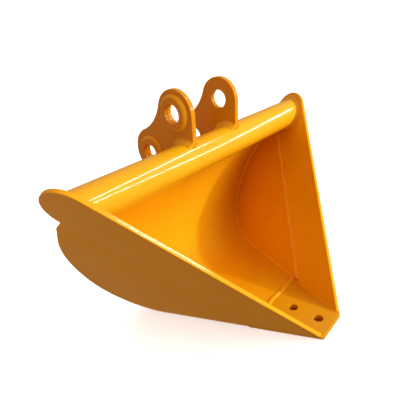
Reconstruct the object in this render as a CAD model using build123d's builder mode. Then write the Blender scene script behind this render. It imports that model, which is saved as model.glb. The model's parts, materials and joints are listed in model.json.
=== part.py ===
from build123d import *
from math import acos, cos, degrees, radians, sin
import os

# Narrow V-ditching bucket for a small excavator: a welded box of flame-cut plates on a torsion tube.
# Frame: X across the bucket, -Y towards the mouth, +Z up with the lip plate lying flat.
# The origin is in the middle of the bounding box, at the level of the underside of the lip plate.

# ---- driving dimensions (mm, degrees) ----
TUBE_Y, TUBE_Z = 52.5, 318.0        # axis of the torsion tube
TUBE_R, TUBE_WALL = 30.15, 5.0      # 60.3 mm pipe

HALF_WIDTH = 300.0                  # outer face of the side bars, at the tube axis
PLAN_TAPER = 0.406                  # half-width gained per mm towards the back
DROP_TAPER = 0.522                  # half-width gained per mm upwards
MOUTH_ANGLE = 58.3                  # slope of the side bars in side view, below horizontal

BAR_WIDTH, BAR_T = 90.0, 8.0        # side bars, with a full-radius upper end
WALL_T = 6.0                        # thin side walls behind the bars
WRAPPER_T = 6.0                     # rolled back and bottom plate
LIP_T = 10.0
LIP_FRONT, LIP_REAR = -194.5, -69.5
LIP_CHAMFER = 6.0
LIP_BOLT_R = 9.0                    # two holes for a bolted centre tooth
LIP_BOLT_Y = (-167.5, -115.5)

BACK_R, BACK_SWEEP = 220.0, 40.0    # large radius of the wrapper, and the angle that it covers
HEEL_R = 99.0                       # tight radius of the wrapper at the heel
BACK_MOST = TUBE_Y + 140.0          # furthest back point of the wrapper
BACK_RISE = 95.0                    # straight upper stretch of the wrapper, ending behind the tube

EAR_GAP, EAR_T = 110.0, 10.0        # clear width between the two ears, and their plate
BORE_R = 17.5                       # 35 mm pins
STICK_PIN = Vector(TUBE_Y + 15.0, TUBE_Z + 81.5)    # pin centres in side view (y, z)
LINK_PIN = Vector(TUBE_Y + 95.0, TUBE_Z + 3.0)
STICK_LOBE_R, LINK_LOBE_R = 41.5, 47.0
EAR_WAIST_R = 90.0                  # hollow between the two lobes
EAR_FRONT_TURN = 7.0                # where the stick-pin lobe runs out into the front edge
EAR_FOOT_ANGLE = 133.0              # where the front edge of an ear lands on the tube
EAR_BACK_ANGLE = -60.0              # where the link-pin lobe runs out into the back edge
EAR_HEEL = Vector(TUBE_Y + 107.0, TUBE_Z - 103.0)   # lower end of an ear, on the wrapper
BOSS_R, BOSS_T = 28.0, 7.0          # thickening rings on the outer face of the left ear

BEAD = 5.0                          # leg of the ordinary fillet welds
TUBE_BEAD = 7.0                     # leg of the welds round the torsion tube
SEAM_W, SEAM_H = 7.0, 1.5           # flush seam weld across the lip
TUBE_SEAM_ANGLE = -7.0              # where the wrapper's upper edge meets the back of the tube
BAR_SEAM_START = 25.0               # the bar-to-wall seam begins this far below the tube axis
FOOT_SEAM_END = 20.0                # the beads at the ears' feet stop this far behind the wrapper

REACH = 400.0                       # longer than any half of the bucket, for stock and cutting tools

# ---- derived points, directions and planes ----
tube_centre = Vector(TUBE_Y, TUBE_Z)
wrapper_under = LIP_T - WRAPPER_T
heel_centre = Vector(BACK_MOST - HEEL_R, wrapper_under + HEEL_R)
back_centre = Vector(BACK_MOST - BACK_R, heel_centre.Y)

inward = Vector(1, PLAN_TAPER, DROP_TAPER).normalized()
fall_y, fall_z = -cos(radians(MOUTH_ANGLE)), -sin(radians(MOUTH_ANGLE))
bar_run = Vector(-PLAN_TAPER * fall_y - DROP_TAPER * fall_z, fall_y, fall_z).normalized()
side_plane = Plane(origin=(-HALF_WIDTH, TUBE_Y, TUBE_Z), x_dir=bar_run, z_dir=inward)
bar_inner = side_plane.offset(BAR_T)
wall_inner = side_plane.offset(WALL_T)
tube_axis = Axis((0, TUBE_Y, TUBE_Z), (1, 0, 0))


def on_circle(centre, radius, angle):
    """Point of a side-view circle, with the angle measured from the back (+Y) upwards."""
    return centre + Vector(cos(radians(angle)), sin(radians(angle))) * radius


def circle_meet(centre_a, radius_a, centre_b, radius_b):
    """The meeting point of two side-view circles that lies to the left of the way from a to b."""
    line = centre_b - centre_a
    turn = degrees(acos((radius_a**2 + line.length**2 - radius_b**2) / (2 * radius_a * line.length)))
    return centre_a + line.normalized().rotate(Axis.Z, turn) * radius_a


def shell_line(inset=0.0):
    """Draw the side-view run of the wrapper, from behind the tube round the heel to the lip."""
    tangent = Vector(-sin(radians(BACK_SWEEP)), cos(radians(BACK_SWEEP)))
    back_start = on_circle(back_centre, BACK_R - inset, BACK_SWEEP)
    top = back_start + tangent * BACK_RISE
    bottom_z = wrapper_under + inset
    Line(top, back_start)
    CenterArc(back_centre, BACK_R - inset, BACK_SWEEP, -BACK_SWEEP)
    CenterArc(heel_centre, HEEL_R - inset, 0, -90)
    Line((heel_centre.X, bottom_z), (LIP_REAR, bottom_z))
    return top


def shell_band(near, far):
    """Draw the closed side-view band between two insets of the wrapper's outer face."""
    Line(shell_line(far), shell_line(near))
    Line((LIP_REAR, wrapper_under + far), (LIP_REAR, wrapper_under + near))


def shell_inside():
    """Draw the closed side-view outline of all that lies in front of the wrapper's outer face."""
    top = shell_line()
    Line((LIP_REAR, wrapper_under), (LIP_REAR, top.Y))
    Line((LIP_REAR, top.Y), top)


def keep_between(plane):
    """Cut the active part back to what lies inside both side planes."""
    split(bisect_by=plane, keep=Keep.TOP)
    split(bisect_by=plane_right(plane), keep=Keep.TOP)


def plane_right(plane):
    """The mirror image of a left-hand plane, still facing inwards."""
    return Plane(
        origin=(-plane.origin.X, plane.origin.Y, plane.origin.Z),
        x_dir=(-plane.x_dir.X, plane.x_dir.Y, plane.x_dir.Z),
        z_dir=(-plane.z_dir.X, plane.z_dir.Y, plane.z_dir.Z),
    )


def finish(builder, name):
    """Label a finished piece and write it."""
    builder.part.label = name
    export_step(builder.part, f"parts/{name}.step")


def finish_pair(left_builder, name):
    """Write a left-hand piece and its mirror image."""
    finish(left_builder, name + "_left")
    with BuildPart() as right_builder:
        mirror(left_builder.part, about=Plane.YZ)
    finish(right_builder, name + "_right")


os.makedirs("parts", exist_ok=True)

# ---- torsion tube, its ends cut to the slant of the side bars ----
with BuildPart() as torsion_tube:
    with BuildSketch(Plane.YZ.offset(-REACH)):
        with Locations(tube_centre):
            Circle(TUBE_R)
            Circle(TUBE_R - TUBE_WALL, mode=Mode.SUBTRACT)
    extrude(amount=2 * REACH)
    keep_between(bar_inner)
finish(torsion_tube, "torsion_tube")

# ---- side bars: flat bar with a full-radius end round the tube, standing on the lip ----
with BuildPart() as side_bar:
    with BuildSketch(side_plane):
        Circle(BAR_WIDTH / 2)
        Rectangle(2 * REACH, BAR_WIDTH, align=(Align.MIN, Align.CENTER))
    extrude(amount=BAR_T)
    split(bisect_by=Plane.XY.offset(LIP_T), keep=Keep.TOP)
finish_pair(side_bar, "side_bar")

# ---- side walls: thinner plates behind the bars, flush with them outside ----
with BuildPart() as side_wall:
    with BuildSketch(side_plane):
        with Locations((0, BAR_WIDTH / 2)):
            Rectangle(2 * REACH, REACH, align=(Align.MIN, Align.MIN))
    extrude(amount=WALL_T)
    with BuildSketch(Plane.YZ.offset(-REACH)):
        with BuildLine():
            wall_top = shell_line()
            Line((LIP_REAR, wrapper_under), (LIP_REAR, LIP_T))
            Line((LIP_REAR, LIP_T), (LIP_FRONT, LIP_T))
            Line((LIP_FRONT, LIP_T), (LIP_FRONT, wall_top.Y))
            Line((LIP_FRONT, wall_top.Y), wall_top)
        make_face()
    extrude(amount=REACH, mode=Mode.INTERSECT)
finish_pair(side_wall, "side_wall")

# ---- wrapper: one rolled plate between the walls, from the tube to the lip ----
with BuildPart() as wrapper_plate:
    with BuildSketch(Plane.YZ.offset(-REACH)):
        with BuildLine():
            shell_band(0, WRAPPER_T)
        make_face()
        with Locations(tube_centre):
            Circle(TUBE_R, mode=Mode.SUBTRACT)
    extrude(amount=2 * REACH)
    keep_between(wall_inner)
    add(side_bar.part, mode=Mode.SUBTRACT)
    mirror(side_bar.part, about=Plane.YZ, mode=Mode.SUBTRACT)
finish(wrapper_plate, "wrapper_plate")


def half_width(y, z):
    """Distance from the middle to the outer face of the sides."""
    return HALF_WIDTH + PLAN_TAPER * (y - TUBE_Y) + DROP_TAPER * (z - TUBE_Z)


# ---- lip plate, its ends cut to the slant of the sides ----
with BuildPart() as lip_plate:
    front_x = half_width(LIP_FRONT, LIP_T)
    rear_x = half_width(LIP_REAR, LIP_T)
    with BuildSketch():
        Polygon(
            (-rear_x, LIP_REAR), (-front_x, LIP_FRONT), (front_x, LIP_FRONT), (rear_x, LIP_REAR), align=None
        )
    extrude(amount=LIP_T)
    chamfer(lip_plate.edges().filter_by(Axis.Z).group_by(Axis.Y)[0], LIP_CHAMFER)
    keep_between(side_plane)
    with Locations(*[(0, y, LIP_T) for y in LIP_BOLT_Y]):
        Hole(LIP_BOLT_R, depth=LIP_T)
finish(lip_plate, "lip_plate")

# ---- ears: two identical plates on the tube, each with a stick-pin and a link-pin bore ----
waist = circle_meet(STICK_PIN, STICK_LOBE_R + EAR_WAIST_R, LINK_PIN, LINK_LOBE_R + EAR_WAIST_R)
ear_front = on_circle(STICK_PIN, STICK_LOBE_R, 180 + EAR_FRONT_TURN)
ear_foot = on_circle(tube_centre, TUBE_R, EAR_FOOT_ANGLE)
ear_back = on_circle(LINK_PIN, LINK_LOBE_R, EAR_BACK_ANGLE)
with BuildPart() as ear:
    with BuildSketch(Plane.YZ.offset(-EAR_GAP / 2)):
        Polygon(STICK_PIN, waist, LINK_PIN, align=None)
        with Locations(waist):
            Circle(EAR_WAIST_R, mode=Mode.SUBTRACT)
        with Locations(STICK_PIN):
            Circle(STICK_LOBE_R)
        with Locations(LINK_PIN):
            Circle(LINK_LOBE_R)
        Polygon(STICK_PIN, ear_front, ear_foot, tube_centre, EAR_HEEL, ear_back, LINK_PIN, align=None)
        with Locations(STICK_PIN, LINK_PIN):
            Circle(BORE_R, mode=Mode.SUBTRACT)
        with Locations(tube_centre):
            Circle(TUBE_R, mode=Mode.SUBTRACT)
    extrude(amount=-EAR_T)
    with BuildSketch(Plane.YZ.offset(-REACH)):
        with BuildLine():
            shell_inside()
        make_face()
    extrude(amount=REACH, mode=Mode.SUBTRACT)
finish_pair(ear, "ear")

# ---- bosses: thickening rings on the outer face of the left ear ----
for boss_name, pin in (("stick", STICK_PIN), ("link", LINK_PIN)):
    with BuildPart() as boss:
        with BuildSketch(Plane.YZ.offset(-EAR_GAP / 2 - EAR_T)):
            with Locations(pin):
                Circle(BOSS_R)
                Circle(BORE_R, mode=Mode.SUBTRACT)
        extrude(amount=-BOSS_T)
    finish(boss, f"boss_{boss_name}_pin")

    with BuildPart() as boss_weld:
        with BuildSketch(Plane.XY.offset(pin.Y)):
            face_x = -EAR_GAP / 2 - EAR_T
            rim_y = pin.X + BOSS_R
            Polygon((face_x, rim_y), (face_x - BEAD, rim_y), (face_x, rim_y + BEAD), align=None)
        revolve(axis=Axis((0, pin.X, pin.Y), (1, 0, 0)))
    finish(boss_weld, f"weld_boss_{boss_name}")

# ---- welds round the ends of the torsion tube ----
with BuildPart() as tube_end_weld:
    with BuildSketch(bar_inner):
        Circle(BAR_WIDTH)
    extrude(amount=TUBE_BEAD)
    with BuildSketch(Plane.YZ.offset(-REACH)):
        with Locations(tube_centre):
            Circle(TUBE_R + TUBE_BEAD)
            Circle(TUBE_R, mode=Mode.SUBTRACT)
    extrude(amount=REACH, mode=Mode.INTERSECT)
    with BuildSketch(Plane.YZ.offset(-REACH)):
        with BuildLine():
            shell_band(0, WRAPPER_T)
        make_face()
    extrude(amount=REACH, mode=Mode.SUBTRACT)
finish_pair(tube_end_weld, "weld_tube_end")

# ---- welds between the ears and the tube: a bead along each face of each ear ----
with BuildPart() as ear_tube_weld:
    for face_x, side in ((-EAR_GAP / 2, 1), (-EAR_GAP / 2 - EAR_T, -1)):
        with BuildSketch(Plane.XY.offset(TUBE_Z)):
            rim_y = TUBE_Y + TUBE_R
            Polygon((face_x, rim_y), (face_x + side * TUBE_BEAD, rim_y), (face_x, rim_y + TUBE_BEAD), align=None)
        revolve(axis=tube_axis, revolution_arc=EAR_FOOT_ANGLE)
    with BuildSketch(Plane.YZ.offset(-REACH)):
        with BuildLine():
            shell_band(-FOOT_SEAM_END, WRAPPER_T)
        make_face()
    extrude(amount=REACH, mode=Mode.SUBTRACT)
finish_pair(ear_tube_weld, "weld_ear_tube")

# ---- welds between the ears and the wrapper ----
with BuildPart() as ear_wrapper_weld:
    for face_x in (-EAR_GAP / 2, -EAR_GAP / 2 - EAR_T - BEAD):
        with BuildSketch(Plane.YZ.offset(face_x)):
            with BuildLine():
                shell_band(-BEAD, 0)
            make_face()
            with Locations(tube_centre):
                Circle(TUBE_R + TUBE_BEAD, mode=Mode.SUBTRACT)
        extrude(amount=BEAD)
    split(bisect_by=Plane.XY.offset(EAR_HEEL.Y + BEAD), keep=Keep.TOP)
finish_pair(ear_wrapper_weld, "weld_ear_wrapper")

# ---- seams inside the bucket ----
with BuildPart() as bar_wall_weld:
    seam_start = wall_inner.from_local_coords((BAR_SEAM_START, BAR_WIDTH / 2, 0))
    with BuildSketch(Plane(origin=seam_start, x_dir=wall_inner.y_dir, z_dir=bar_run)):
        Polygon((0, 0), (BEAD, 0), (0, BAR_T - WALL_T), align=None)
    extrude(amount=2 * REACH)
    split(bisect_by=Plane.XY.offset(LIP_T), keep=Keep.TOP)
finish_pair(bar_wall_weld, "weld_bar_wall")

with BuildPart() as wall_wrapper_weld:
    with BuildSketch(wall_inner):
        with Locations((0, BAR_WIDTH / 2 + BEAD)):
            Rectangle(2 * REACH, REACH, align=(Align.MIN, Align.MIN))
    extrude(amount=BEAD)
    with BuildSketch(Plane.YZ.offset(-REACH)):
        with BuildLine():
            shell_band(WRAPPER_T, WRAPPER_T + BEAD)
        make_face()
        with Locations(tube_centre):
            Circle(TUBE_R + TUBE_BEAD, mode=Mode.SUBTRACT)
    extrude(amount=REACH, mode=Mode.INTERSECT)
finish_pair(wall_wrapper_weld, "weld_wall_wrapper")

with BuildPart() as bar_lip_weld:
    with BuildSketch(bar_inner):
        Rectangle(2 * REACH, BAR_WIDTH, align=(Align.MIN, Align.CENTER))
    extrude(amount=BEAD)
    split(bisect_by=Plane.XY.offset(LIP_T), keep=Keep.TOP)
    split(bisect_by=Plane.XY.offset(LIP_T + BEAD), keep=Keep.BOTTOM)
finish_pair(bar_lip_weld, "weld_bar_lip")

with BuildPart() as lip_seam_weld:
    with BuildSketch(Plane.YZ.offset(-REACH)):
        with Locations((LIP_REAR, LIP_T)):
            Rectangle(SEAM_W, SEAM_H, align=(Align.CENTER, Align.MIN))
    extrude(amount=2 * REACH)
    keep_between(wall_inner.offset(BEAD))
finish(lip_seam_weld, "weld_lip_seam")

with BuildPart() as lip_under_weld:
    with BuildSketch(Plane.YZ.offset(-REACH)):
        Polygon((LIP_REAR, 0), (LIP_REAR + wrapper_under, wrapper_under), (LIP_REAR, wrapper_under), align=None)
    extrude(amount=2 * REACH)
    keep_between(side_plane)
finish(lip_under_weld, "weld_lip_under")

# ---- weld along the back of the tube, in three runs between the ears ----
with BuildPart() as tube_wrapper_weld:
    with BuildSketch(Plane.YZ.offset(-REACH)):
        with Locations(on_circle(tube_centre, TUBE_R, TUBE_SEAM_ANGLE)):
            Circle(TUBE_BEAD)
        with Locations(tube_centre):
            Circle(TUBE_R, mode=Mode.SUBTRACT)
        with BuildLine():
            shell_inside()
        make_face(mode=Mode.SUBTRACT)
    extrude(amount=2 * REACH)
    keep_between(bar_inner.offset(TUBE_BEAD))
    for ear_side in (-1, 1):
        with Locations((ear_side * (EAR_GAP + EAR_T) / 2, TUBE_Y, TUBE_Z)):
            Box(EAR_T + 2 * TUBE_BEAD, REACH, REACH, mode=Mode.SUBTRACT)
finish(tube_wrapper_weld, "weld_tube_wrapper")
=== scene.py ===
import json
from math import cos, pi, radians, sin

import bmesh
import bpy
import numpy as np
from mathutils import Matrix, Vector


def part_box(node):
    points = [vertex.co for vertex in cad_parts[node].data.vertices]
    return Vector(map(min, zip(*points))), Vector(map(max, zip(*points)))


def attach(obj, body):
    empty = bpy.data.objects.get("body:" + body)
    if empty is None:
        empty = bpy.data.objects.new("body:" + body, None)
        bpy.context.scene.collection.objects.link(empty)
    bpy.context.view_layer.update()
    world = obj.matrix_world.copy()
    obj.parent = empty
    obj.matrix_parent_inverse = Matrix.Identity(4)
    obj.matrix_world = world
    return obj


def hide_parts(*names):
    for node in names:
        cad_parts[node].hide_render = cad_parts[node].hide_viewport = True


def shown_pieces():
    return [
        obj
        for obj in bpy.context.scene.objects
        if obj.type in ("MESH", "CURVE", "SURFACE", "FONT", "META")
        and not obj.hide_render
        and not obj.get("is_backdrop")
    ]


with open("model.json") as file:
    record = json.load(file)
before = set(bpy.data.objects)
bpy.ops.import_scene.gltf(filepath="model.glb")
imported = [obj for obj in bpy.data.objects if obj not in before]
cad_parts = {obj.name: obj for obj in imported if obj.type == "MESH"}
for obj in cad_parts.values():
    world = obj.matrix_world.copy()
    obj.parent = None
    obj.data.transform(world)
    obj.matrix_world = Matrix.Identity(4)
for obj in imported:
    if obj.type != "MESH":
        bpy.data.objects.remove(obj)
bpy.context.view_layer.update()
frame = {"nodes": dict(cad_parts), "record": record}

# A small excavator's ditching bucket in thick glossy enamel. Lengths are metres, in the CAD frame:
# X across the bucket, -Y towards the mouth, +Z up, the lip plate lying flat on the floor.

MM = 0.001
nodes = frame["nodes"]
mounts = {m["name"]: m for m in frame["record"]["mounts"]}


def array(*values):
    """A vector of floats."""
    return np.array(values, float)


def unit(vectors):
    """The same vectors, each one metre long."""
    vectors = np.asarray(vectors, float)
    return vectors / np.linalg.norm(vectors, axis=-1, keepdims=True)


def broad_face(node):
    """Normal and one point of a plate's larger flat face that looks towards +X."""
    areas, planes = {}, {}
    for polygon in nodes[node].data.polygons:
        way = tuple(round(c, 2) for c in polygon.normal)
        if way[0] > 0:
            areas[way] = areas.get(way, 0) + polygon.area
            planes[way] = (array(*polygon.normal), array(*polygon.center))
    return planes[max(areas, key=areas.get)]


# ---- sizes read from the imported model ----
tube_low, tube_high = (array(*corner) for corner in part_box("torsion_tube"))
tube_radius = (tube_high[2] - tube_low[2]) / 2
tube_axis = (tube_low + tube_high)[1:] / 2                   # (y, z)
bar_normal, bar_point = broad_face("side_bar_left")
wall_normal, wall_point = broad_face("side_wall_left")
lip_low, lip_high = (array(*corner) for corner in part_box("lip_plate"))
wrapper_low, wrapper_high = (array(*corner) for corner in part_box("wrapper_plate"))
ear_low, ear_high = (array(*corner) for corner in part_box("ear_left"))
boss_low, boss_high = (array(*corner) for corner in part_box("boss_stick_pin"))
stick_pin = array(*mounts["stick_pin"]["pos_m"])[1:]
link_pin = array(*mounts["link_pin"]["pos_m"])[1:]
boss_radius = (boss_high[2] - boss_low[2]) / 2

# ---- shapes that a box can't give, as the CAD has them ----
BAR_HALF = 45 * MM                  # half the width of a side bar
BAR_T = 8 * MM
BAR_STEP = 2 * MM                   # how far a bar stands inside the wall behind it
WRAPPER_T = 6 * MM
BACK_R, BACK_SWEEP = 220 * MM, radians(40)
HEEL_R = 99 * MM
BACK_RISE = 95 * MM                 # the straight run of the wrapper above its back
EAR_FOOT = radians(133)             # where the front edge of an ear lands on the tube, from the back upwards
EAR_HEEL_DROP = 103 * MM            # the lower tip of an ear, below the tube axis
FILLET = 5 * MM                     # leg of the ordinary fillet welds
TUBE_FILLET = 7 * MM                # leg of the welds round the torsion tube
EAR_FILLET = 10 * MM                # leg of the broad welds at the feet of the ears
MIRROR = array(-1, 1, 1)            # left to right


def on_plane(y, z, normal, point):
    """Points with the given y and z on a plane, as an array of rows."""
    y, z = np.broadcast_arrays(np.asarray(y, float), np.asarray(z, float))
    x = point[0] - (normal[1] * (y - point[1]) + normal[2] * (z - point[2])) / normal[0]
    return np.stack([x, y, z], axis=-1)


def shell_path(inset, samples=60):
    """Side-view run of the wrapper from behind the tube to the lip: y, z and the way into the bucket."""
    back_most = wrapper_high[1]
    heel = array(back_most - HEEL_R, wrapper_low[2] + HEEL_R)
    back = array(back_most - BACK_R, heel[1])
    out = array(cos(BACK_SWEEP), sin(BACK_SWEEP))
    start = back + out * (BACK_R - inset)
    top = start + array(-out[1], out[0]) * BACK_RISE
    rows = [(top[0], top[1], -out[0], -out[1])]
    for centre, radius, first, last in ((back, BACK_R, BACK_SWEEP, 0), (heel, HEEL_R, 0, -pi / 2)):
        for angle in np.linspace(first, last, samples):
            way = array(cos(angle), sin(angle))
            rows.append((*(centre + way * (radius - inset)), *-way))
    rows.append((lip_high[1], wrapper_low[2] + inset, 0, 1))
    return np.array(rows)


# ================================================================ paint

def node_tree(name):
    """A new material with nothing but its output and a Principled shader."""
    material = bpy.data.materials.new(name)
    material.use_nodes = True
    tree = material.node_tree
    tree.nodes.clear()
    output = tree.nodes.new("ShaderNodeOutputMaterial")
    shader = tree.nodes.new("ShaderNodeBsdfPrincipled")
    tree.links.new(shader.outputs["BSDF"], output.inputs["Surface"])
    return material, tree, shader


def noise(tree, vector, scale, detail=2.0, roughness=0.5):
    """A noise texture's value over the given coordinates."""
    node = tree.nodes.new("ShaderNodeTexNoise")
    node.inputs["Scale"].default_value = scale
    node.inputs["Detail"].default_value = detail
    node.inputs["Roughness"].default_value = roughness
    tree.links.new(vector, node.inputs["Vector"])
    return node.outputs["Fac"]


def remap(tree, value, low, high, new_low, new_high):
    """A value moved from one range to another and clamped."""
    node = tree.nodes.new("ShaderNodeMapRange")
    ends = {"From Min": low, "From Max": high, "To Min": new_low, "To Max": new_high}
    for socket, number in ends.items():
        node.inputs[socket].default_value = number
    tree.links.new(value, node.inputs["Value"])
    return node.outputs["Result"]


def stretch(tree, vector, scale):
    """Coordinates scaled along each axis."""
    node = tree.nodes.new("ShaderNodeMapping")
    node.inputs["Scale"].default_value = scale
    tree.links.new(vector, node.inputs["Vector"])
    return node.outputs["Vector"]


def blend(tree, factor, first, second):
    """A mix of two colours, each a colour or a socket."""
    node = tree.nodes.new("ShaderNodeMix")
    node.data_type = "RGBA"
    tree.links.new(factor, node.inputs["Factor"])
    for socket, colour in (("A", first), ("B", second)):
        target = next(s for s in node.inputs if s.name == socket and s.type == "RGBA")
        if isinstance(colour, tuple):
            target.default_value = (*colour, 1)
        else:
            tree.links.new(colour, target)
    return next(s for s in node.outputs if s.type == "RGBA")


def bump(tree, height, distance, strength=1.0, under=None):
    """A bump over another normal."""
    node = tree.nodes.new("ShaderNodeBump")
    node.inputs["Distance"].default_value = distance
    node.inputs["Strength"].default_value = strength
    tree.links.new(height, node.inputs["Height"])
    if under is not None:
        tree.links.new(under, node.inputs["Normal"])
    return node.outputs["Normal"]


# Yellow-orange enamel: as it mostly is, where it has run thin and looks yellower, and where it has pooled.
SHEET_TONES = ((0.86, 0.400, 0.006), (0.89, 0.435, 0.009), (0.82, 0.355, 0.004))
TUBE_TONES = ((0.84, 0.430, 0.010), (0.87, 0.465, 0.014), (0.81, 0.390, 0.007))
# The ears' tones are the sheet paint made darker and redder: painted shade on ear faces that turn away from
# the key.
SHADED_EAR_TONES = ((0.72, 0.285, 0.003), (0.76, 0.320, 0.005), (0.67, 0.250, 0.002))
WELD_TONES = ((0.89, 0.410, 0.007), (0.93, 0.455, 0.011), (0.86, 0.370, 0.005))
# The seam tones are paler and yellower than the weld paint: a painted highlight along the welds inside the
# bucket.
SEAM_HIGHLIGHT_TONES = ((0.96, 0.500, 0.020), (0.98, 0.540, 0.030), (0.93, 0.450, 0.012))
# The lip's tones are the sheet paint made darker: painted shade on the lip plate, which faces up and would
# catch more light.
SHADED_LIP_TONES = ((0.76, 0.340, 0.005), (0.79, 0.370, 0.007), (0.72, 0.310, 0.004))
DUST_TONE = (0.62, 0.42, 0.20)
DUST_SHARE = 0.4                    # how far the colour of the dust covers the paint

# Noise cells to a metre.
DRIFT_SCALE = 7.0                   # between thin and pooled paint
MOTTLE_SCALE = 28.0                 # patches closer to the usual colour
DUST_SCALE = 420.0
DULL_SCALE = 16.0
WAVE_SCALE = 11.0                   # the waviness of the plate
DENT_SCALE = 42.0                   # the softer dents on its waves
GRAIN_SCALE = (40.0, 620.0, 620.0)  # rolling grain, drawn out along X
PEEL_SCALE = 330.0                  # orange peel

DENT_HEIGHT = 0.16                  # as a share of the waves
PAINT_ROUGHNESS = (0.30, 0.44)
PAINT_IOR = 1.5


def enamel(name, peel, waviness, gloss, coat, grain=0.0, shine=0.12, tones=SHEET_TONES):
    """Thick sprayed enamel: colour drift, orange peel, the waviness of the plate, and nibs of dust. peel,
    waviness and grain are heights, gloss is the roughness of the clear coat, coat is the coat's weight, and
    shine is the sheen of the paint under it."""
    material, tree, shader = node_tree(name)
    where = tree.nodes.new("ShaderNodeTexCoord").outputs["Object"]

    usual, thin, pooled = tones
    drift = remap(tree, noise(tree, where, DRIFT_SCALE, 3.0), 0.35, 0.65, 0.0, 1.0)
    colour = blend(tree, drift, pooled, thin)
    even = remap(tree, noise(tree, where, MOTTLE_SCALE, 4.0, 0.6), 0.3, 0.7, 0.25, 0.85)
    colour = blend(tree, even, colour, usual)
    speck = remap(tree, noise(tree, where, DUST_SCALE, 1.0), 0.74, 0.80, 0.0, DUST_SHARE)
    colour = blend(tree, speck, colour, DUST_TONE)
    tree.links.new(colour, shader.inputs["Base Color"])

    dull = remap(tree, noise(tree, where, DULL_SCALE, 3.0), 0.3, 0.7, *PAINT_ROUGHNESS)
    tree.links.new(dull, shader.inputs["Roughness"])

    normal = bump(tree, noise(tree, where, WAVE_SCALE, 1.5), waviness)
    normal = bump(tree, noise(tree, where, DENT_SCALE, 2.0), waviness * DENT_HEIGHT, under=normal)
    if grain:
        normal = bump(tree, noise(tree, stretch(tree, where, GRAIN_SCALE), 1.0, 2.0), grain, under=normal)
    normal = bump(tree, noise(tree, where, PEEL_SCALE, 2.0, 0.45), peel, under=normal)
    tree.links.new(normal, shader.inputs["Normal"])
    tree.links.new(normal, shader.inputs["Coat Normal"])

    shader.inputs["Metallic"].default_value = 0.0
    shader.inputs["IOR"].default_value = PAINT_IOR
    shader.inputs["Specular IOR Level"].default_value = shine
    shader.inputs["Coat Weight"].default_value = coat
    shader.inputs["Coat Roughness"].default_value = gloss
    shader.inputs["Coat IOR"].default_value = PAINT_IOR
    return material


# The record's slots, and two more: "bar" for the side bars and "seam" for the welds inside, whose paler
# paint is a painted highlight.
enamels = {
    "shell": enamel("enamel_shell", peel=0.05 * MM, waviness=1.2 * MM, gloss=0.24, coat=0.4),
    "bar": enamel("enamel_bar", peel=0.008 * MM, waviness=0.8 * MM, gloss=0.12, coat=0.6),
    "tube": enamel(
        "enamel_tube", peel=0.003 * MM, waviness=0.25 * MM, gloss=0.12, coat=1.0, shine=0.02,
        tones=TUBE_TONES,
    ),
    # the ears' enamel carries painted shade
    "ears": enamel(
        "enamel_ears", peel=0.02 * MM, waviness=0.5 * MM, grain=0.02 * MM, gloss=0.12, coat=0.5, shine=0.06,
        tones=SHADED_EAR_TONES,
    ),
    # the lip's enamel carries painted shade
    "lip": enamel("enamel_lip", peel=0.03 * MM, waviness=0.9 * MM, gloss=0.12, coat=0.6, tones=SHADED_LIP_TONES),
    "seam": enamel("enamel_seam", peel=0.01 * MM, waviness=0.3 * MM, gloss=0.14, coat=0.3, tones=SEAM_HIGHLIGHT_TONES),
    "weld": enamel(
        "enamel_weld", peel=0.01 * MM, waviness=0.3 * MM, gloss=0.12, coat=0.45, shine=0.04,
        tones=WELD_TONES,
    ),
}


def dress(thing, paint):
    """Give a piece or a CAD node one of the enamels."""
    if not thing.data.materials:
        thing.data.materials.append(enamels[paint])
    for place in thing.material_slots:
        place.material = enamels[paint]


# ================================================================ plates, with their edges eased

EDGE_ROUND = {"shell": 1.3 * MM, "tube": 0.8 * MM, "ears": 0.9 * MM, "lip": 1.4 * MM}
SHARP_EDGE = radians(32)            # edges sharper than this are eased
FLAT = radians(0.4)                 # faces closer than this are one face
MERGE = 0.001 * MM                  # corners closer than this are one corner
slots = {row["node"]: row["material_slot"] for row in frame["record"]["subparts"]}

for name, plate in nodes.items():
    if name.startswith("weld_"):
        continue
    dress(plate, "bar" if name.startswith("side_bar") else slots[name])
    joined = plate.modifiers.new("joined", "WELD")
    joined.merge_threshold = MERGE
    whole = plate.modifiers.new("whole_faces", "DECIMATE")
    whole.decimate_type = "DISSOLVE"
    whole.angle_limit = FLAT
    eased = plate.modifiers.new("eased_edges", "BEVEL")
    eased.width = EDGE_ROUND[slots[name]]
    eased.segments = 4
    eased.limit_method = "ANGLE"
    eased.angle_limit = SHARP_EDGE
    eased.miter_outer = "MITER_ARC"
    shaded = plate.modifiers.new("flat_faces", "WEIGHTED_NORMAL")
    shaded.weight = 100             # the largest faces decide
    shaded.keep_sharp = False


# ================================================================ weld beads

RIPPLE = 2.6 * MM                   # from one weld ripple to the next
RINGS_PER_RIPPLE = 6
FACE_POINTS = 11                    # points across the face of a bead
ROOT_DEPTH = 0.5 * MM               # how far the edges of a bead run into the plates
END_TAPER = 4 * MM                  # length over which a bead starts and stops
END_SIZE = 0.2                      # size of a bead at its very ends, as a share
RIPPLE_LAG = 1.1                    # how many ripples the edges of a bead trail behind its middle
RIPPLE_PINCH = 0.035                # how much the width of a bead follows its ripples

OCTAVES = (1.0, 2.3, 4.1)           # of every wave below
OCTAVES_HEIGHT = 1.6                # of a wave's octaves together

# How unevenly a bead is laid, as waves of (height, length). The first counts in ripples, the next three in
# shares of the bead's size, and the last in shares of its wander.
PHASE_WAVES = ((0.35, 31 * MM),)
LEG_A_WAVES = ((0.05, 47 * MM), (0.03, 9 * MM))
LEG_B_WAVES = ((0.05, 53 * MM), (0.03, 11 * MM))
HEIGHT_WAVES = ((0.18, 61 * MM),)
STRAY_WAVES = ((1.0, 57 * MM), (0.5, 17 * MM))


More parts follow.
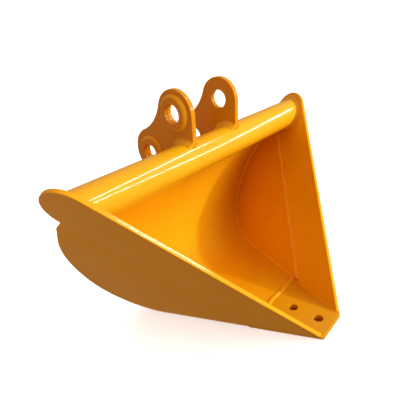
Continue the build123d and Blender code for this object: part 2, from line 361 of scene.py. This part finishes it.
def uneven(distance, waves, random):
    """A smooth random drift along a bead."""
    total = np.zeros_like(distance)
    for height, length in waves:
        for octave in OCTAVES:
            turn = distance / length * octave * 2 * pi + random.uniform(0, 2 * pi)
            total += height / OCTAVES_HEIGHT * np.sin(turn) / octave
    return total


def resample(rows, distance, wanted):
    """Rows of a path read off at the wanted distances."""
    return np.stack([np.interp(wanted, distance, column) for column in rows.T], axis=-1)


def mesh_piece(name, vertices, faces, slot, stands_for=None):
    """A smooth-shaded mesh that rides on the bucket."""
    mesh = bpy.data.meshes.new(name)
    mesh.from_pydata([tuple(v) for v in vertices], [], faces)
    mesh.validate()
    fixing = bmesh.new()
    fixing.from_mesh(mesh)
    bmesh.ops.recalc_face_normals(fixing, faces=fixing.faces)
    fixing.to_mesh(mesh)
    fixing.free()
    mesh.shade_smooth()
    piece = bpy.data.objects.new(name, mesh)
    bpy.context.scene.collection.objects.link(piece)
    dress(piece, slot)
    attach(piece, "root")
    if stands_for:
        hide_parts(stands_for)
    return piece


def bead_mesh(root, leg_a, leg_b, crown, seed, closed=False, rise=0.14, relief=0.26 * MM, wander=0.0):
    """Vertices and faces of one bead. root is the corner that it fills, the legs reach to its two edges,
    crown points out of the corner, rise is how far its face bulges, as a share of its width, relief is the
    height of its ripples, and wander is how far it strays from its line."""
    random = np.random.default_rng(seed)
    middle = root + (leg_a + leg_b) / 2
    steps = np.linalg.norm(np.diff(middle, axis=0), axis=1)
    along = np.concatenate([[0], np.cumsum(steps)])
    length = along[-1]
    rings = max(12, int(round(length / RIPPLE)) * RINGS_PER_RIPPLE)
    wanted = np.linspace(0, length, rings, endpoint=not closed)
    root, leg_a, leg_b, crown = (resample(rows, along, wanted) for rows in (root, leg_a, leg_b, crown))
    crown = unit(crown)

    phase = wanted / length * max(2, round(length / RIPPLE))
    if not closed:
        phase = phase + uneven(wanted, PHASE_WAVES, random)
    size_a = 1 + uneven(wanted, LEG_A_WAVES, random)
    size_b = 1 + uneven(wanted, LEG_B_WAVES, random)
    height = 1 + uneven(wanted, HEIGHT_WAVES, random)
    stray = wander * uneven(wanted, STRAY_WAVES, random)
    run_up = np.clip(np.minimum(wanted, length - wanted) / END_TAPER, 0, 1)
    edge = np.sqrt(np.clip(1 - (1 - run_up) ** 2, END_SIZE**2, 1))
    if closed:
        size_a = size_b = height = edge = np.ones(rings)     # an even bead, whose ends meet

    root = root + unit(leg_a - leg_b) * stray[:, None]
    width = np.linalg.norm(leg_a - leg_b, axis=1)
    columns = []
    for across in np.linspace(0, 1, FACE_POINTS):
        dome = np.abs(np.sin(pi * (phase - RIPPLE_LAG * (2 * across - 1) ** 2)))
        arch = 4 * across * (1 - across)
        pinch = edge * (1 + RIPPLE_PINCH * (dome - 0.6))
        chord = leg_a * (1 - across) * size_a[:, None] + leg_b * across * size_b[:, None]
        swell = edge * (width * rise * arch * height + relief * (dome - 0.5) * np.sqrt(arch))
        columns.append(root + chord * pinch[:, None] + crown * swell[:, None])
    columns[0] = columns[0] - crown * ROOT_DEPTH
    columns[-1] = columns[-1] - crown * ROOT_DEPTH
    columns.append(root - crown * ROOT_DEPTH)

    sides = len(columns)
    vertices = np.stack(columns, axis=1).reshape(-1, 3)
    faces = []
    for ring in range(rings if closed else rings - 1):
        here, there = ring * sides, (ring + 1) % rings * sides
        for side in range(sides):
            beside = (side + 1) % sides
            faces.append((here + side, here + beside, there + beside, there + side))
    if not closed:
        faces.append(tuple(range(sides)))
        faces.append(tuple((rings - 1) * sides + side for side in range(sides)))
    return vertices, faces


def joined_beads(beads):
    """Several beads as one list of vertices and faces."""
    vertices, faces = [], []
    for bead_vertices, bead_faces in beads:
        faces += [tuple(index + len(vertices) for index in face) for face in bead_faces]
        vertices += [tuple(v) for v in bead_vertices]
    return vertices, faces


def mirrored(bead):
    """The same bead on the other side of the bucket."""
    vertices, faces = bead
    return [(-x, y, z) for x, y, z in vertices], faces


def straight(first, last, count=60):
    """Points of a line."""
    return np.linspace(first, last, count)


def alike(vector, rows):
    """One direction, repeated for every row of a path."""
    return np.tile(np.asarray(vector, float), (len(rows), 1))


ACROSS = array(1, 0, 0)
UP = array(0, 0, 1)


def tube_ring(angles, radius):
    """y and z of points round the torsion tube; the angle is measured from the back upwards."""
    return tube_axis[0] + radius * np.cos(angles), tube_axis[1] + radius * np.sin(angles)


def tube_end_bead(seed):
    """Round the tube where it meets the left bar."""
    angles = np.linspace(radians(3), radians(351), 220)
    root = on_plane(*tube_ring(angles, tube_radius), bar_normal, bar_point)
    outside = on_plane(*tube_ring(angles, tube_radius * 1.2), bar_normal, bar_point)
    along_bar = unit(outside - root) * TUBE_FILLET
    along_tube = alike(ACROSS * TUBE_FILLET, root)
    crown = along_bar + along_tube
    return bead_mesh(root, along_bar, along_tube, crown, seed, rise=0.02, relief=0.14 * MM, wander=0.2 * MM)


def ear_tube_bead(seed):
    """A broad hollow fillet along each face of the left ear, from the back nearly to its front edge."""
    arc = np.linspace(radians(2), EAR_FOOT - radians(4), 70)
    y, z = tube_ring(arc, tube_radius)
    along_ear = np.stack([np.zeros_like(arc), np.cos(arc), np.sin(arc)], axis=1) * EAR_FILLET
    beads = []
    for face, way, own_seed in ((ear_low[0], -ACROSS, seed), (ear_high[0], ACROSS, seed + 20)):
        root = np.stack([np.full_like(arc, face), y, z], axis=1)
        along_tube = alike(way * EAR_FILLET, root)
        crown = along_tube + along_ear
        beads.append(bead_mesh(root, along_tube, along_ear, crown, own_seed, rise=-0.05, relief=0.13 * MM))
    return joined_beads(beads)


def ear_wrapper_bead(seed):
    """Between the left ear and the back of the wrapper: down one face, round the tip and up the other."""
    path = shell_path(0)
    z = np.linspace(tube_axis[1] - 2 * MM, tube_axis[1] - EAR_HEEL_DROP, 70)
    order = np.argsort(path[:, 1])
    y, way_y, way_z = (np.interp(z, path[order, 1], path[order, column]) for column in (0, 2, 3))
    outs = -np.stack([np.zeros_like(z), way_y, way_z], axis=1)
    outer_face = [array(ear_low[0], *place) for place in zip(y, z)]
    inner_face = [array(ear_high[0], *place) for place in zip(y, z)]
    outer_tip, inner_tip, out = outer_face[-1], inner_face[-1], outs[-1]
    down = array(0, out[2], -out[1])
    quarter = np.linspace(0, pi / 2, 14)

    rows = [(place, -ACROSS, way) for place, way in zip(outer_face, outs)]
    rows += [(outer_tip, down * sin(turn) - ACROSS * cos(turn), out) for turn in quarter]
    rows += [(outer_tip + (inner_tip - outer_tip) * k, down, out) for k in np.linspace(0.1, 0.9, 10)]
    rows += [(inner_tip, down * cos(turn) + ACROSS * sin(turn), out) for turn in quarter]
    rows += [(place, ACROSS, way) for place, way in reversed(list(zip(inner_face, outs)))]
    root, leg_a, leg_b = (np.array(column) for column in zip(*rows))
    fillet = bead_mesh(root, leg_a * FILLET, leg_b * FILLET, leg_a + leg_b, seed)

    # A blob where the two runs meet, over the tip of the ear.
    tip = straight(outer_tip - ACROSS * 1 * MM, inner_tip + ACROSS * 1 * MM, 12)
    below, above = down * 4 * MM, out * 4 * MM - down * 6 * MM
    blob = bead_mesh(tip, alike(below, tip), alike(above, tip), alike(out, tip), seed + 9, rise=0.35)
    return joined_beads([fillet, blob])


def boss_bead(pin, seed):
    """Round a boss on the outer face of the left ear."""
    angles = np.linspace(0, 2 * pi, 160)
    around = np.stack([np.zeros_like(angles), np.cos(angles), np.sin(angles)], axis=1)
    root = array(ear_low[0], *pin) + around * boss_radius
    along_ear = around * FILLET * 1.15
    along_boss = alike(ACROSS * (boss_low[0] - boss_high[0] + 0.8 * MM), root)
    crown = along_ear + along_boss
    return bead_mesh(root, along_ear, along_boss, crown, seed, closed=True, rise=0.10, relief=0.22 * MM)


def bar_axes():
    """Directions on the left side plane: down along the bar, and across it towards the back."""
    mesh = nodes["side_bar_left"].data
    longest = array(0, 0, 0)
    for edge in mesh.edges:
        first, last = (array(*mesh.vertices[index].co) for index in edge.vertices)
        way = last - first
        if way @ way > longest @ longest and abs(unit(way) @ bar_normal) < 0.01:
            longest = way
    down = unit(longest) * -np.sign(longest[2])
    back = unit(np.cross(bar_normal, down))
    return down, back * np.sign(back[1])


bar_down, bar_back = bar_axes()
bar_top = on_plane(*tube_axis, bar_normal, bar_point)        # on the inner face, at the tube's axis
bar_front = bar_top - bar_back * BAR_HALF


def down_to(level, start, way):
    """The point where a line from start reaches a level."""
    return start + way * (level - start[2]) / way[2]


BAR_SEAM_START = 25 * MM            # below the tube's axis, along the bar
BAR_SEAM_REACH = 7.0 * MM           # on the wall
BAR_SEAM_OVER = 4.5 * MM            # on the bar
OUTER_SEAM_HALF = 4 * MM


def bar_wall_bead(seed):
    """Over the step between the bar and the thinner wall behind it."""
    start = on_plane(*tube_axis, wall_normal, wall_point) + bar_back * BAR_HALF + bar_down * BAR_SEAM_START
    root = straight(start, down_to(lip_high[2] + 2 * MM, start, bar_down))
    on_wall = alike(bar_back * BAR_SEAM_REACH, root)
    on_bar = alike(bar_normal * BAR_STEP - bar_back * BAR_SEAM_OVER, root)
    crown = alike(bar_normal, root)
    return bead_mesh(root, on_wall, on_bar, crown, seed, rise=0.30, relief=0.50 * MM, wander=1.3 * MM)


LOW_LEG, HIGH_LEG = 2.2 * MM, 5.2 * MM      # of the weld between wall and wrapper, which grows upwards
LOW_LEG_RISE, HIGH_LEG_RISE = 50 * MM, 200 * MM     # above the lip plate


def wall_wrapper_bead(seed):
    """In the corner between wall and wrapper, from the weld round the tube down to the bar."""
    path = shell_path(WRAPPER_T, 90)
    lengths = np.concatenate([[0], np.cumsum(np.linalg.norm(np.diff(path[:, :2], axis=0), axis=1))])
    path = resample(path, lengths, np.linspace(0, lengths[-1], 400))
    root = on_plane(path[:, 0], path[:, 1], wall_normal, wall_point)
    past_tube = np.linalg.norm(path[:, :2] - tube_axis, axis=1) > tube_radius + TUBE_FILLET * 0.6
    past_bar = (root - bar_top) @ bar_back > BAR_HALF + 1 * MM
    path, root = path[past_tube & past_bar], root[past_tube & past_bar]
    inward = np.stack([np.zeros(len(path)), path[:, 2], path[:, 3]], axis=1)
    leg = np.interp(root[:, 2] - lip_high[2], (LOW_LEG_RISE, HIGH_LEG_RISE), (LOW_LEG, HIGH_LEG))[:, None]
    on_wall = unit(inward - (inward @ wall_normal)[:, None] * wall_normal) * leg
    on_wrapper = ACROSS * leg
    return bead_mesh(root, on_wall, on_wrapper, on_wall + on_wrapper, seed, rise=0.08, relief=0.40 * MM)


BAR_FOOT_LEG = 3.2 * MM
LIP_SEAM_HALF = 6 * MM
LIP_UNDER_DOWN, LIP_UNDER_BACK = 3.4 * MM, 3.8 * MM


def bar_lip_bead(seed):
    """In the corner between the left bar's inner face and the top of the lip plate."""
    front = down_to(lip_high[2], bar_front, bar_down)
    rear = down_to(lip_high[2], bar_top + bar_back * BAR_HALF, bar_down)
    root = straight(front + (rear - front) * 0.03, rear, 40)
    on_lip = unit(np.cross(rear - front, UP))
    on_lip = on_lip * np.sign(on_lip[0])
    on_bar = unit(UP - (UP @ bar_normal) * bar_normal)
    crown = alike(on_lip + on_bar, root)
    on_lip, on_bar = alike(on_lip * BAR_FOOT_LEG, root), alike(on_bar * BAR_FOOT_LEG, root)
    return bead_mesh(root, on_lip, on_bar, crown, seed, rise=0.0, relief=0.12 * MM)


def lip_seam_bead(seed):
    """Across the bucket, over the butt joint of lip plate and wrapper."""
    edge = on_plane(lip_high[1], lip_high[2], wall_normal, wall_point)
    root = straight(edge, edge * MIRROR)
    back = alike(array(0, LIP_SEAM_HALF, 0), root)
    return bead_mesh(root, -back, back, alike(UP, root), seed, rise=0.13, relief=0.45 * MM, wander=1.2 * MM)


def lip_under_bead(seed):
    """Across the bucket, in the step between the back of the lip plate and the underside of the wrapper."""
    side = on_plane(lip_high[1], 0, wall_normal, wall_point) + ACROSS * 1 * MM
    end = array(side[0], lip_high[1], wrapper_low[2])
    root = straight(end, end * MIRROR)
    down, back = array(0, 0, -LIP_UNDER_DOWN), array(0, LIP_UNDER_BACK, 0)
    return bead_mesh(root, alike(down, root), alike(back, root), alike(down + back, root), seed, rise=0.05)


def outer_seam_bead(seed):
    """The ground-down weld over the joint between the bar and the wall, on the outer face."""
    start = bar_top - bar_normal * BAR_T + bar_back * BAR_HALF + bar_down * BAR_SEAM_START
    root = straight(start, down_to(lip_high[2], start, bar_down))
    half = alike(bar_back * OUTER_SEAM_HALF, root)
    crown = alike(-bar_normal, root)
    return bead_mesh(root, half, -half, crown, seed, rise=0.012, relief=0.02 * MM, wander=0.3 * MM)


def tube_wrapper_beads(seed):
    """Along the back of the tube in three runs: from bar to ear, between the ears, and from ear to bar."""
    top = shell_path(0)[0]
    start, out = top[:2], -top[2:]
    slope = array(-out[1], out[0])                           # up the straight run of the wrapper
    offset = start - tube_axis
    half_chord = np.sqrt(tube_radius**2 - (offset @ out) ** 2)
    corner = start - slope * (offset @ slope + half_chord)
    radial = unit(corner - tube_axis)
    down = array(0, *-slope) * TUBE_FILLET
    up_tube = array(0, -radial[1], radial[0]) * TUBE_FILLET
    crown = array(0, *(out + radial))
    bar_end = on_plane(*corner, bar_normal, bar_point)[0] + 1 * MM
    outer_face, inner_face = ear_low[0] + 1 * MM, ear_high[0] - 1 * MM
    runs = ((bar_end, outer_face), (inner_face, -inner_face), (-outer_face, -bar_end))
    beads = []
    for number, (first, last) in enumerate(runs):
        root = straight(array(first, *corner), array(last, *corner))
        legs = alike(down, root), alike(up_tube, root)
        beads.append(bead_mesh(root, *legs, alike(crown, root), seed + number, rise=0.22))
    return joined_beads(beads)


def pair(name, bead_of, seed, paint="weld"):
    """A bead on the left and its own, differently rippled, twin on the right."""
    left = mesh_piece(f"{name}_left_bead", *bead_of(seed), "weld", f"{name}_left")
    right = mesh_piece(f"{name}_right_bead", *mirrored(bead_of(seed + 50)), "weld", f"{name}_right")
    for bead in (left, right):
        dress(bead, paint)


pair("weld_tube_end", tube_end_bead, 1)
pair("weld_ear_tube", ear_tube_bead, 2)
pair("weld_ear_wrapper", ear_wrapper_bead, 3)
# The two inner welds get the seam paint, a painted highlight.
pair("weld_bar_wall", bar_wall_bead, 4, paint="seam")
pair("weld_wall_wrapper", wall_wrapper_bead, 5, paint="seam")
pair("weld_bar_lip", bar_lip_bead, 6)
mesh_piece("weld_outer_seam_left", *outer_seam_bead(12), "shell")
mesh_piece("weld_outer_seam_right", *mirrored(outer_seam_bead(13)), "shell")
mesh_piece("weld_boss_stick_bead", *boss_bead(stick_pin, 7), "weld", "weld_boss_stick")
mesh_piece("weld_boss_link_bead", *boss_bead(link_pin, 8), "weld", "weld_boss_link")
mesh_piece("weld_lip_seam_bead", *lip_seam_bead(9), "weld", "weld_lip_seam")
mesh_piece("weld_lip_under_bead", *lip_under_bead(10), "weld", "weld_lip_under")
mesh_piece("weld_tube_wrapper_bead", *tube_wrapper_beads(11), "weld", "weld_tube_wrapper")


# ================================================================ floor, light and camera

def floor_material():
    """A pale floor with a faint unevenness in its tone."""
    material, tree, shader = node_tree("pale_floor")
    where = tree.nodes.new("ShaderNodeTexCoord").outputs["Object"]
    tone = remap(tree, noise(tree, where, 3.0), 0.3, 0.7, 0.0, 1.0)
    colour = blend(tree, tone, (0.86, 0.86, 0.86), (0.89, 0.89, 0.89))
    tree.links.new(colour, shader.inputs["Base Color"])
    shader.inputs["Roughness"].default_value = 0.8
    shader.inputs["Specular IOR Level"].default_value = 0.2
    return material


COVE_FLAT, COVE_BEND, COVE_TOP = 2.2, 1.2, 4.0
COVE_SIDES = 96


def cove():
    """A round pale floor that curves up into a wall all the way round."""
    profile = [(0.6, 0.0), (1.3, 0.0)]
    for angle in np.linspace(0, pi / 2, 16):
        profile.append((COVE_FLAT + COVE_BEND * sin(angle), COVE_BEND * (1 - cos(angle))))
    profile.append((COVE_FLAT + COVE_BEND, COVE_TOP))
    vertices, faces = [(0.0, 0.0, 0.0)], []
    for radius, height in profile:
        for side in range(COVE_SIDES):
            angle = 2 * pi * side / COVE_SIDES
            vertices.append((radius * cos(angle), radius * sin(angle), height))
    for side in range(COVE_SIDES):
        beside = (side + 1) % COVE_SIDES
        faces.append((0, 1 + side, 1 + beside))
        for ring in range(len(profile) - 1):
            inner = 1 + ring * COVE_SIDES
            outer = inner + COVE_SIDES
            faces.append((inner + side, outer + side, outer + beside, inner + beside))
    mesh = bpy.data.meshes.new("floor")
    mesh.from_pydata(vertices, [], faces)
    mesh.shade_smooth()
    mesh.materials.append(floor_material())
    floor = bpy.data.objects.new("floor", mesh)
    floor.visible_diffuse = floor.visible_glossy = floor.visible_shadow = False
    bpy.context.scene.collection.objects.link(floor)
    floor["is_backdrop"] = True
    return floor


SHADE_INSET = 8 * MM                # from the front and the back of the lip plate
SHADE_HALF = 26 * MM
SHADE_HEIGHT = 0.2 * MM


def contact_shade():
    """Painted shade: a dark red-brown sheet right under the lip plate, where the pale floor lies in the
    plate's shade. It is seen only through the bolt holes.
    """
    material, tree, shader = node_tree("contact_shade")
    where = tree.nodes.new("ShaderNodeTexCoord").outputs["Object"]
    tone = remap(tree, noise(tree, where, 90.0), 0.3, 0.7, 0.0, 1.0)
    colour = blend(tree, tone, (0.30, 0.070, 0.010), (0.42, 0.110, 0.015))
    tree.links.new(colour, shader.inputs["Base Color"])
    shader.inputs["Roughness"].default_value = 0.9
    shader.inputs["Specular IOR Level"].default_value = 0.0
    front, rear = lip_low[1] + SHADE_INSET, lip_high[1] - SHADE_INSET
    ends = ((-SHADE_HALF, front), (SHADE_HALF, front), (SHADE_HALF, rear), (-SHADE_HALF, rear))
    mesh = bpy.data.meshes.new("contact_shade")
    mesh.from_pydata([(x, y, SHADE_HEIGHT) for x, y in ends], [], [(0, 1, 2, 3)])
    mesh.materials.append(material)
    shade = bpy.data.objects.new("contact_shade", mesh)
    bpy.context.scene.collection.objects.link(shade)
    shade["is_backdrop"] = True


def lamp(name, size, power, colour, lights):
    """A rectangular area lamp at the origin, facing down. It lights one collection and isn't seen itself."""
    data = bpy.data.lights.new(name, "AREA")
    data.shape = "RECTANGLE"
    data.size, data.size_y = size
    data.energy = power
    data.color = colour
    holder = bpy.data.objects.new(name, data)
    holder.visible_camera = False
    holder.light_linking.receiver_collection = lights
    bpy.context.scene.collection.objects.link(holder)
    return holder


def aim(holder, place, back, tall):
    """Stand a lamp somewhere, with its back and its tall side turned the given ways."""
    turned = np.eye(4)
    turned[:3] = np.stack([np.cross(tall, back), tall, back, place], axis=1)
    holder.matrix_world = Matrix(turned.tolist())


def collection(name, things):
    """A collection for light linking."""
    group = bpy.data.collections.new(name)
    for thing in things:
        group.objects.link(thing)
    return group


CAMERA_PLACE = (-0.4829, -0.3984, 0.5165)
CAMERA_TURN = (65.10, 7.60, -47.50)         # degrees about X, Y and Z
CAMERA_LENS = 32.04                         # mm, on a 36 mm sensor

floor = cove()
contact_shade()
whole_bucket = collection("whole_bucket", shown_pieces())

# The key is a tall thin softbox to the right of the mouth. It stands in the plane that holds the front edge
# of the right bar and the edge of the shadow which that bar throws on the wrapper.
KEY_LIFT = radians(15)              # how far the key is turned up within that plane
KEY_TURN = radians(63.5)            # the angle of that plane about the bar, from the bar's inner face
KEY_DOWN = 0.2                      # where the key points, down along the bar
KEY_DISTANCE = 3.0
KEY_SIZE = (0.12, 1.6)
KEY_POWER = 42.0
KEY_COLOUR = (0.91, 1.0, 0.78)

inner_way, run_way = bar_normal * MIRROR, bar_down * MIRROR
travel = inner_way * cos(KEY_TURN) + np.cross(run_way, inner_way) * sin(KEY_TURN)
to_key = -(travel * cos(KEY_LIFT) + run_way * sin(KEY_LIFT))
key_upright = travel * sin(KEY_LIFT) - run_way * cos(KEY_LIFT)
key_place = bar_front * MIRROR + run_way * KEY_DOWN + to_key * KEY_DISTANCE
key = lamp("key", KEY_SIZE, KEY_POWER, KEY_COLOUR, whole_bucket)
aim(key, key_place, to_key, key_upright)
key.visible_glossy = False

# The fill stands in front of the mouth. Neither it nor the key shows in the gloss.
FILL_WAY = unit(array(0.22, -0.92, 0.32))
FILL_DISTANCE = 3.0
FILL_SIZE = (1.4, 1.4)
FILL_POWER = 60.0
FILL_COLOUR = (0.91, 1.0, 0.68)
fill = lamp("fill", FILL_SIZE, FILL_POWER, FILL_COLOUR, whole_bucket)
aim(fill, FILL_WAY * FILL_DISTANCE, FILL_WAY, unit(np.cross(ACROSS, FILL_WAY)))
fill.visible_glossy = False

# Long thin lamps that show only as streaks in the gloss: three in front of the bucket and to its right, for
# the tube, the ears and the welds, and one that the front edge of the left bar mirrors to the camera.
STREAK_WIDTH = 0.05
STREAK_WATTS = 14.0                 # for each metre
STREAK_COLOUR = (1.0, 0.97, 0.86)
EDGE_STREAK_FROM, EDGE_STREAK_TO = 0.055, 0.20      # where it shows, down along the bar
EDGE_STREAK_DISTANCE = 2.5
DULL_WORDS = ("side_", "wrapper_plate", "lip_plate")


def seen_in_edge(distance):
    """The place that the left bar's front edge shows the camera, at a distance down along the bar."""
    spot = bar_front + bar_down * distance
    to_camera = unit(array(*CAMERA_PLACE) - spot)
    return spot + (2 * (to_camera @ bar_back) * bar_back - to_camera) * EDGE_STREAK_DISTANCE


glossy = [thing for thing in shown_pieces() if not any(word in thing.name for word in DULL_WORDS)]
in_gloss = collection("in_gloss", glossy)
left_bar = collection("left_bar", [nodes["side_bar_left"]])
streaks = (
    (in_gloss, array(0.80, -1.92, 1.91), array(2.40, -0.95, 2.65)),
    (in_gloss, array(0.80, -2.32, 1.21), array(2.60, -2.46, 0.63)),
    (in_gloss, array(2.68, -2.43, 0.82), array(4.30, -1.75, 2.10)),
    (left_bar, seen_in_edge(EDGE_STREAK_FROM), seen_in_edge(EDGE_STREAK_TO)),
)
for number, (shown_on, first, last) in enumerate(streaks):
    length = float(np.linalg.norm(last - first))
    streak = lamp(f"streak_{number}", (STREAK_WIDTH, length), STREAK_WATTS * length, STREAK_COLOUR, shown_on)
    middle, along = (first + last) / 2, unit(last - first)
    aim(streak, middle, unit(middle - (middle @ along) * along), along)
    streak.visible_diffuse = False

# Two lamps for the floor alone. The bucket throws its shadow in the light of the weaker one only.
FLOOR_LAMP_HEIGHT = 3.0
FLOOR_LAMP_SIZE = (7.0, 7.0)
FLOOR_LAMP_COLOUR = (0.94, 0.98, 1.0)
only_floor = collection("only_floor", [floor])
for name, power, blockers in (("floor_lamp", 110.0, None), ("floor_fill", 285.0, only_floor)):
    above = lamp(name, FLOOR_LAMP_SIZE, power, FLOOR_LAMP_COLOUR, only_floor)
    above.location = (0, 0, FLOOR_LAMP_HEIGHT)
    above.light_linking.blocker_collection = blockers


ROOM_COLOUR = (1, 0.70, 0.48, 1)
ROOM_DARK = 0.12                    # what the room gives from everywhere
ROOM_TOP = 0.42                     # added overhead
ROOM_FRONT = 0.34                   # added from the side of the mouth
ROOM_BACK = 0.36                    # added from behind
ROOM_LEFT = 0.20                    # added from the left
ROOM_RIGHT = 0.15                   # added from the right


def room():
    """Soft warm light from the room: mostly from overhead, the front and the back, with a dim ground."""
    world = bpy.data.worlds.new("studio")
    bpy.context.scene.world = world
    world.use_nodes = True
    tree = world.node_tree
    where = tree.nodes.new("ShaderNodeTexCoord").outputs["Generated"]
    parts = tree.nodes.new("ShaderNodeSeparateXYZ")
    tree.links.new(where, parts.inputs["Vector"])
    shares = (
        remap(tree, parts.outputs["Z"], 0.0, 0.9, ROOM_DARK, ROOM_DARK + ROOM_TOP),
        remap(tree, parts.outputs["Y"], 0.1, -0.9, 0.0, ROOM_FRONT),
        remap(tree, parts.outputs["Y"], 0.2, 1.0, 0.0, ROOM_BACK),
        remap(tree, parts.outputs["X"], -0.2, -1.0, 0.0, ROOM_LEFT),
        remap(tree, parts.outputs["X"], 0.2, 1.0, 0.0, ROOM_RIGHT),
    )
    total = shares[0]
    for share in shares[1:]:
        added = tree.nodes.new("ShaderNodeMath")
        tree.links.new(total, added.inputs[0])
        tree.links.new(share, added.inputs[1])
        total = added.outputs["Value"]
    tree.nodes["Background"].inputs["Color"].default_value = ROOM_COLOUR
    tree.links.new(total, tree.nodes["Background"].inputs["Strength"])


room()

lens = bpy.data.cameras.new("camera")
lens.sensor_width = 36.0
lens.lens = CAMERA_LENS
lens.clip_start = 0.01
camera = bpy.data.objects.new("camera", lens)
camera.location = CAMERA_PLACE
camera.rotation_euler = tuple(radians(angle) for angle in CAMERA_TURN)
bpy.context.scene.collection.objects.link(camera)
bpy.context.scene.camera = camera
bpy.context.scene.view_settings.view_transform = "Standard"
